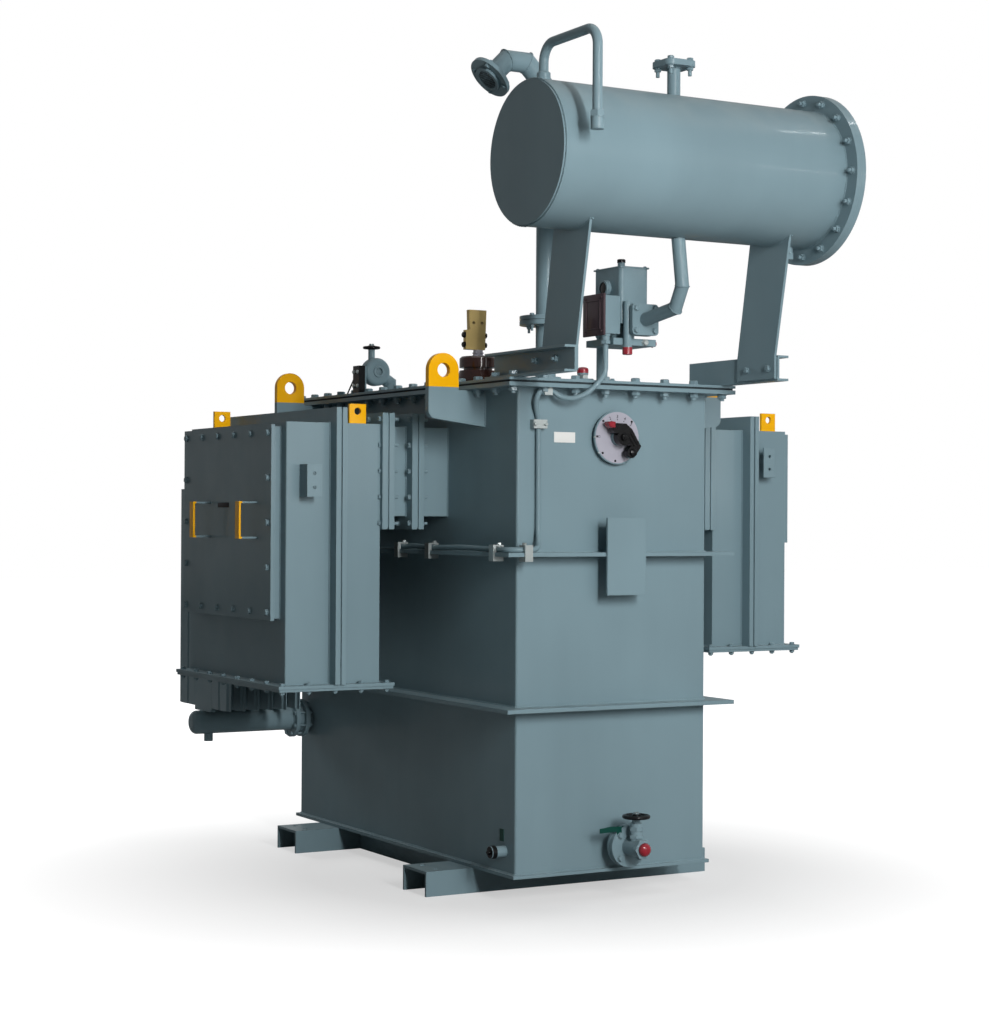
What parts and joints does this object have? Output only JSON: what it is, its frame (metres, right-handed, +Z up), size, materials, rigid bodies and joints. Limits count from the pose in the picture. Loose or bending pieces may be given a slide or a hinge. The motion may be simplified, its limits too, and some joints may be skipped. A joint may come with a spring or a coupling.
{
  "type": "power transformer",
  "caption": "Oil-filled power transformer: ribbed tank on skids, side cable boxes, conservator with gas relay and vent, rear radiators and valves.",
  "frame": {"origin": "middle of the whole footprint, on the ground", "axes": "+Z up, -Y towards the conservator end, -X towards the taller high voltage cable box, +X towards the low voltage one"},
  "size_m": [1.97, 2.2834, 2.495],
  "materials": {
    "tank_paint": "blue-grey semi-gloss paint",
    "lug_paint": "blue-grey paint with yellow tops",
    "yellow_paint": "yellow gloss paint",
    "black_plastic": "black enamel",
    "red_plastic": "dark red",
    "gasket_rubber": "matt black",
    "brown_porcelain": "glazed dark brown",
    "brass": "dull",
    "dial_face": "white enamel",
    "cable_sheath": "painted over",
    "zinc_steel": "dull zinc"
  },
  "bodies": {
    "transformer": {"base_rails": "tank_paint", "base_skid_back": "tank_paint", "base_skid_front": "tank_paint", "box_cover_handles": "yellow_paint", "breather_pipe": "tank_paint", "bushing_porcelain": "brown_porcelain", "bushing_terminal": "brass", "cable_box_brackets": "zinc_steel", "cable_box_tabs": "yellow_paint", "cable_clamps": "zinc_steel", "conservator_barrel": "tank_paint", "conservator_channels": "tank_paint", "conservator_cover": "tank_paint", "conservator_end_plate": "tank_paint", "conservator_flange": "tank_paint", "conservator_legs": "tank_paint", "control_cable": "cable_sheath", "cover_gasket": "gasket_rubber", "drain_plug": "red_plastic", "drain_valve": "tank_paint", "filler_pipe": "tank_paint", "front_plate": "tank_paint", "gas_relay": "tank_paint", "high_voltage_box_cover": "tank_paint", "high_voltage_gland_plate": "tank_paint", "high_voltage_inner_chamber": "tank_paint", "high_voltage_outer_chamber": "tank_paint", "high_voltage_throat": "tank_paint", "lifting_lug_back_left": "lug_paint", "lifting_lug_back_right": "lug_paint", "lifting_lug_front_left": "lug_paint", "lifting_lug_front_right": "lug_paint", "low_voltage_box_cover": "tank_paint", "low_voltage_gland_plate": "tank_paint", "low_voltage_inner_chamber": "tank_paint", "low_voltage_outer_chamber": "tank_paint", "low_voltage_throat": "tank_paint", "lower_stiffener": "tank_paint", "radiator_left_fins": "tank_paint", "radiator_left_headers": "tank_paint", "radiator_right_fins": "tank_paint", "radiator_right_headers": "tank_paint", "relay_pipes": "tank_paint", "relay_terminal_box": "tank_paint", "sampling_stub": "tank_paint", "tank_back_wall": "tank_paint", "tank_cover": "tank_paint", "tank_floor": "tank_paint", "tank_front_wall": "tank_paint", "tank_left_wall": "tank_paint", "tank_right_wall": "tank_paint", "tank_rim": "tank_paint", "tap_changer_dial": "dial_face", "thermometer_pocket": "red_plastic", "top_valve": "tank_paint", "upper_stiffener": "tank_paint", "vent_pipe": "tank_paint"},
    "tap_handle": {"tap_changer_handle": "black_plastic"},
    "drain_wheel": {"drain_valve_handwheel": "black_plastic"},
    "top_wheel": {"top_valve_handwheel": "black_plastic"}
  },
  "joints": [
    {"name": "tap_handle_turn", "type": "hinge", "parent": "transformer", "child": "tap_handle", "pos_m": [-0.002, -0.56775, 1.37], "axis": [0, -1, 0], "range_deg": [-60, 60]},
    {"name": "drain_wheel_turn", "type": "hinge", "parent": "transformer", "child": "drain_wheel", "pos_m": [0.017, -0.63375, 0.248], "axis": [0, 0, 1], "range_deg": [0, 1350]},
    {"name": "top_wheel_turn", "type": "hinge", "parent": "transformer", "child": "top_wheel", "pos_m": [-0.335, 0.43025, 1.688], "axis": [0, 0, 1], "range_deg": [0, 1350]}
  ]
}
